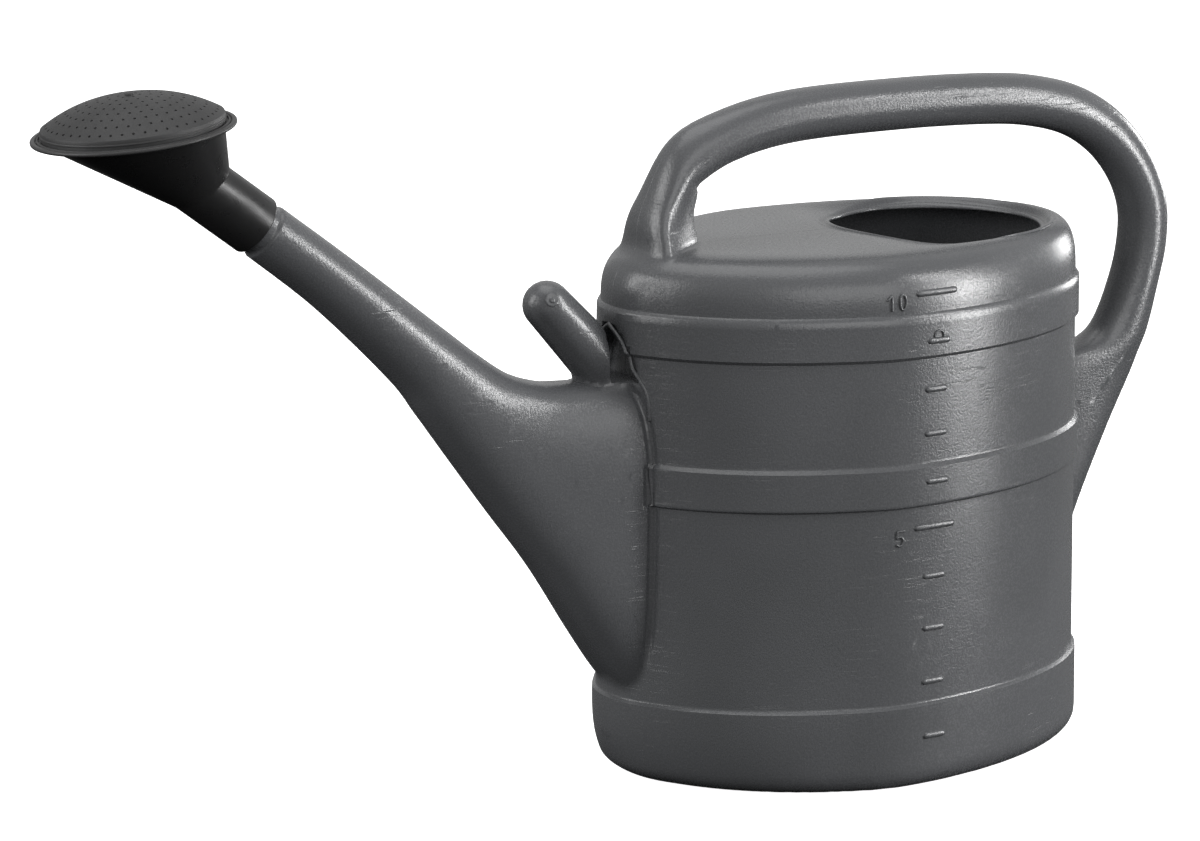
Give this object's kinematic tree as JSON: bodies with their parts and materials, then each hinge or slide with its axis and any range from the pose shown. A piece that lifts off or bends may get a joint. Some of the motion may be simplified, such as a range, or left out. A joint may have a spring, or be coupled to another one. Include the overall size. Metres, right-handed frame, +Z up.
{
  "type": "watering can",
  "caption": "Oval blow-moulded watering can with a closed loop handle, long sloping spout, rose parking peg and a push-on domed rose.",
  "frame": {"origin": "centre of the flat base the can stands on", "axes": "+Z up, +X from the spout towards the back of the handle along the can's length, Y across it; the can is symmetric about Y = 0"},
  "size_m": [0.6446, 0.1924, 0.3727],
  "materials": {
    "can_plastic": "satin anthracite polyethylene with a fine grain",
    "rose_plastic": "glossy black",
    "face_plastic": "matte dark grey"
  },
  "bodies": {
    "can": {"can_body": "can_plastic"},
    "rose": {"rose_funnel": "rose_plastic", "rose_face": "face_plastic"}
  },
  "joints": [
    {"name": "rose_turn", "type": "hinge", "parent": "can", "child": "rose", "pos_m": [-0.3245, 0, 0.3011], "axis": [-0.7934, 0, 0.6088], "continuous": true}
  ]
}
